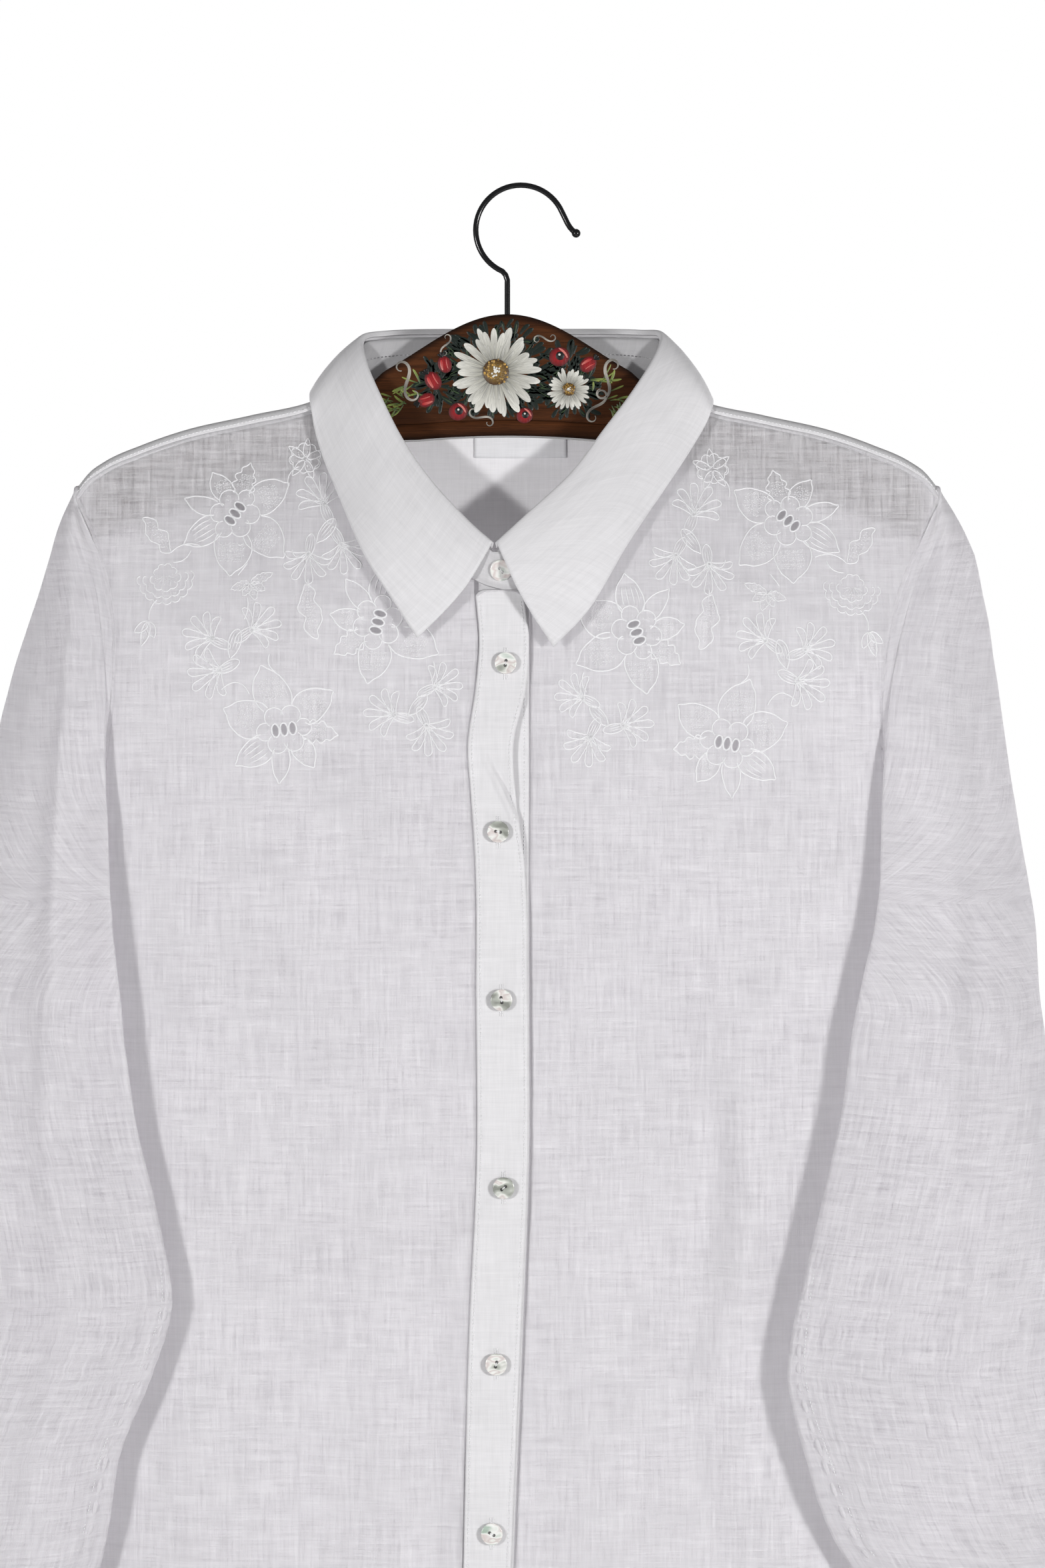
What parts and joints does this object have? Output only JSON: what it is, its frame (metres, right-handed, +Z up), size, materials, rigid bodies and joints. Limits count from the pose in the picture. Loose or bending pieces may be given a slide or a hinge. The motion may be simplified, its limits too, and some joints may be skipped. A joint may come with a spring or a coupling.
{
  "type": "embroidered shirt on a hanger",
  "caption": "Long-sleeved linen shirt with a turn-down collar, buttoned front and flower cutwork, hanging on a painted wooden hanger with a wire hook.",
  "frame": {"origin": "inner top of the hanger's hook, where a rail carries it", "axes": "+Z up along the shirt's length, +X towards the wearer's left sleeve, -Y out of the shirt's front"},
  "size_m": [0.6247, 0.1161, 0.8429],
  "materials": {
    "linen": "matte",
    "linen_band": "matte",
    "woven_label": "satin",
    "shell": "gloss",
    "wood": "satin",
    "black_wire": "gloss"
  },
  "bodies": {
    "root": {"back": "linen", "front_right": "linen", "front_left": "linen", "sleeve_right": "linen", "sleeve_left": "linen", "cuff_right": "linen_band", "cuff_left": "linen_band", "collar_stand": "linen_band", "collar_leaf": "linen_band", "placket_over": "linen_band", "placket_under": "linen_band", "label": "woven_label", "button_1": "shell", "button_2": "shell", "button_3": "shell", "button_4": "shell", "button_5": "shell", "button_6": "shell", "button_7": "shell", "button_8": "shell", "cuff_button_right": "shell", "cuff_button_left": "shell", "hanger_wood": "wood", "hanger_hook": "black_wire"}
  },
  "joints": []
}
